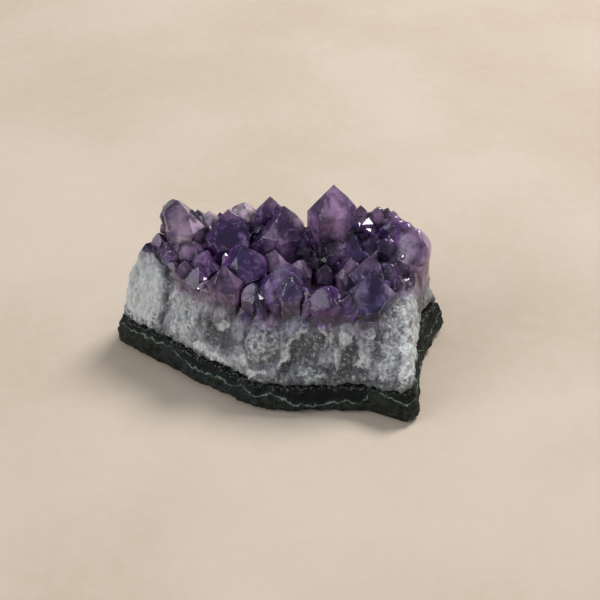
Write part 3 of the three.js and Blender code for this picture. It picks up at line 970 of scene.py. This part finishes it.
def small_point(tip, axis, side, across, stretch=1.0):
    """A small closed crystal: its tip, its axis, the way one of its faces looks, its width, and how far it
    is drawn out across that face."""
    other = axis.cross(side)
    half = across / 2
    out = half / math.cos(math.radians(30))
    points = [tip]
    for drop in (half * math.tan(TIP_SLOPE), SMALL_LENGTH * across):
        for k in range(6):
            angle = math.radians(60 * k + 30)
            ring = side * (out * math.cos(angle)) + other * (out * math.sin(angle) * stretch)
            points.append(tip - axis * drop + ring)
    points.append(tip - axis * SMALL_LENGTH * across)
    triangles = []
    for k in range(6):
        top, top_next = 1 + k, 1 + (k + 1) % 6
        low, low_next = top + 6, top_next + 6
        triangles += [(0, top, top_next), (top, low, low_next)]
        triangles += [(top, low_next, top_next), (13, low_next, low)]
    return np.array([tuple(p) for p in points]), np.array(triangles)


def glint_points():
    """The small points that catch the key light."""
    made = []
    cross = Vector((0, 0, 1)).cross(MIRROR).normalized()
    for x, y, z, across, stretch, lean in GLINTS:
        way = cross * math.cos(math.radians(lean)) + MIRROR.cross(cross) * math.sin(math.radians(lean))
        axis = MIRROR * math.cos(TIP_SLOPE) + way * math.sin(TIP_SLOPE)
        side = MIRROR * math.sin(TIP_SLOPE) - way * math.cos(TIP_SLOPE)
        tip = Vector((x, y, z)) - (side - axis * math.tan(TIP_SLOPE)) * (across / 3)
        made.append(small_point(tip, axis, side, across, stretch))
    return made


def valley_points(points, valleys):
    """Small points grown in the valleys between the large ones, above the wall."""
    random = np.random.RandomState(5)
    spots = points[valleys].mean(axis=1)
    spots = spots[spots[:, 2] > fade_height(spots[:, 0], spots[:, 1]) + 2.5]
    spots = spots[worn_at(spots[:, 0], spots[:, 1]) < 1]
    made, placed = [], []
    for place in spots[random.permutation(len(spots))]:
        if len(made) == SMALL_POINTS:
            break
        if any(np.linalg.norm(place - other) < SMALL_GAP for other in placed):
            continue
        placed.append(place)
        across = random.uniform(*SMALL_ACROSS)
        axis = Vector((*random.normal(0, 0.45, 2), 1.0)).normalized()
        side = axis.orthogonal().normalized()
        turn = random.uniform(0, 1.05)
        side = side * math.cos(turn) + axis.cross(side) * math.sin(turn)
        tip = Vector(place) + axis * across * random.uniform(0.35, 0.75)
        made.append(small_point(tip, axis, side, across))
    return made


# The quartz as a whole.


def cut_fine(start, triangles, labels, seams):
    """The quartz solid with its faces cut fine: finest at its corners and valleys and on the front wall."""
    near = cells_near(start, seams, AT_CORNERS)

    def longest(middles, under):
        x, y, z = middles.T
        size = np.where(near(middles), AT_CORNERS, IN_FACES)
        size = np.where(worn_at(x, y) > 1, ON_WORN, size)
        front = (y < -2) | (x > 24) & (y < 4) | (x < -24) & (y < 1)
        size = np.where(z < fade_height(x, y) + 0.5, np.where(front, FRONT_WALL, OTHER_WALL), size)
        return np.where(under, UNDERSIDE, size)

    return refine(start, triangles, labels, longest)


def crisp_edges(points, edges, of_triangle, facets):
    """The edges between flat faces, on points that aren't worn."""
    a, b = beside_edges(of_triangle).T
    x, y, z = points[edges].mean(axis=1).T
    crisp = (z > fade_height(x, y) + 0.5) & (worn_at(x, y) < 2)
    return edges[(facets[a] != facets[b]) & crisp]


def quartz(node):
    """The quartz: its solid cut fine, with worn corners and a broken wall, and small points between."""
    start, triangles = solid_arrays(node)
    foot = start[:, 2].min()
    facets, crystals, corners, valleys = facets_and_crystals(start, triangles)
    down = face_normals(start, triangles)[:, 2] < -0.6
    under = down & (start[triangles][:, :, 2].max(axis=1) < foot + UNDERSIDE_HEIGHT)
    labels = np.stack([facets, crystals, under], 1)
    seams = np.concatenate([corners, valleys])
    points, triangles, labels = cut_fine(start, triangles, labels, seams)
    facets, crystals, _ = labels.T

    x, y, z = points.T
    edges, of_triangle = edges_of(triangles)
    wall = 1 - between(z, fade_height(x, y) - 1.5, fade_height(x, y) + 0.5)
    points = eased(points, edges, np.maximum(worn_at(x, y), 0.2 + 3 * wall))
    x, y, z = points.T
    fade = fade_height(x, y) + 1.2 * fractal(points, 3.6, 3, 3.3)
    violet = between(z, fade - FADE_DEPTH, fade + FADE_DEPTH)
    moved, low, white, dark = rugged(points, point_normals(points, triangles), foot, fade)

    small, small_faces = gathered(glint_points() + valley_points(start, valleys))
    mirrors = face_normals(small, small_faces) @ np.array(MIRROR) > 0.999
    sharp = crisp_edges(points, edges, of_triangle, facets)
    sharp = np.concatenate([sharp, edges_of(small_faces)[0] + len(points)])

    random = np.random.RandomState(3)
    kinds = [list(TINTS).index(name) for name in COMMON_TINTS]
    own = np.zeros(len(points), int)
    own[triangles] = random.choice(kinds, len(start) * 3)[crystals][:, None]
    own = np.concatenate([own, random.choice(kinds, len(small))])
    shade = random.uniform(0, 1, len(start) * 3)[facets]
    small_shade = random.uniform(0, 1, len(small_faces))

    none = np.zeros(len(small))
    places = np.concatenate([points, small])
    tint = tints(places[:, 0], places[:, 1], own)
    attributes = {
        "violet": ("POINT", np.concatenate([violet, between(small[:, 2], 14.0, 18.0)])),
        "clear": ("POINT", tint[:, 3]),
        "white": ("POINT", np.concatenate([white, none])),
        "dark": ("POINT", np.concatenate([dark, none])),
        "low": ("POINT", np.concatenate([low, none])),
        # How near the corners and valleys are: the material paints shade and partly painted highlights with
        # these.
        "edge": ("POINT", np.concatenate([nearness(start, corners, points, 0.08, 0.5), none])),
        "valley": ("POINT", np.concatenate([nearness(start, valleys, points, 0.10, 1.0), none])),
        "tint": ("POINT", np.concatenate([tint[:, :3], np.ones((len(tint), 1))], 1)),
        "facet": ("FACE", np.concatenate([shade, small_shade])),
        "polish": ("FACE", np.concatenate([np.zeros(len(triangles)), mirrors])),
    }
    faces = np.concatenate([triangles, small_faces + len(points)])
    moved = np.concatenate([moved, small])
    make_piece("quartz", moved, faces, attributes, quartz_material(), "amethyst_crystals", sharp)


# Camera, floor and light.


def make_camera():
    data = bpy.data.cameras.new("camera")
    data.lens = LENS
    data.sensor_width = 36.0
    data.clip_start = 0.01
    data.clip_end = 20
    camera = bpy.data.objects.new("camera", data)
    bpy.context.scene.collection.objects.link(camera)
    a, e = math.radians(AZIMUTH), math.radians(ELEVATION)
    back = Vector((math.sin(a) * math.cos(e), -math.cos(a) * math.cos(e), math.sin(e)))
    camera.location = (Vector(LOOK_AT) + back * DISTANCE) * MM
    camera.rotation_mode = "QUATERNION"
    camera.rotation_quaternion = (-back).to_track_quat("-Z", "Y")
    bpy.context.scene.camera = camera


def make_floor():
    half = 3.0
    corners = [(-half, -half, 0), (half, -half, 0), (half, half, 0), (-half, half, 0)]
    mesh = bpy.data.meshes.new("floor")
    mesh.from_pydata(corners, [], [(0, 1, 2, 3)])
    mesh.materials.append(floor_material())
    floor = bpy.data.objects.new("floor", mesh)
    bpy.context.scene.collection.objects.link(floor)


def area_light(name, place, size, power, colour):
    """A round light that looks at the origin. place and size are in metres."""
    data = bpy.data.lights.new(name, "AREA")
    data.shape = "DISK"
    data.size = size
    data.energy = power
    data.color = colour
    light = bpy.data.objects.new(name, data)
    bpy.context.scene.collection.objects.link(light)
    light.location = place
    light.rotation_mode = "QUATERNION"
    light.rotation_quaternion = (-Vector(place)).to_track_quat("-Z", "Y")


def make_light():
    world = bpy.data.worlds.new("studio")
    bpy.context.scene.world = world
    world.use_nodes = True
    background = world.node_tree.nodes["Background"]
    background.inputs["Color"].default_value = (0.95, 0.97, 1.0, 1)
    background.inputs["Strength"].default_value = 0.35
    area_light("key", KEY_PLACE, 0.36, 7.5, (1.0, 0.98, 0.95))
    area_light("fill", FILL_PLACE, 0.9, 4.5, (0.96, 0.98, 1.0))


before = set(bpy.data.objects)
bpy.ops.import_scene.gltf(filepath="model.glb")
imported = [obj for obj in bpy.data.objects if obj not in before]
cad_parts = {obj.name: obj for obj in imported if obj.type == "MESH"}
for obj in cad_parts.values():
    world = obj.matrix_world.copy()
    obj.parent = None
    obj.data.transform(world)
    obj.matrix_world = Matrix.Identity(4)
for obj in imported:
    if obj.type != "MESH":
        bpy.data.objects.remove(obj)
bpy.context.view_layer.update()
make_camera()
make_floor()
make_light()
bpy.context.scene.view_settings.view_transform = "Standard"

rock_rind(Solid(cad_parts["matrix_rock"]))
quartz(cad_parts["amethyst_crystals"])
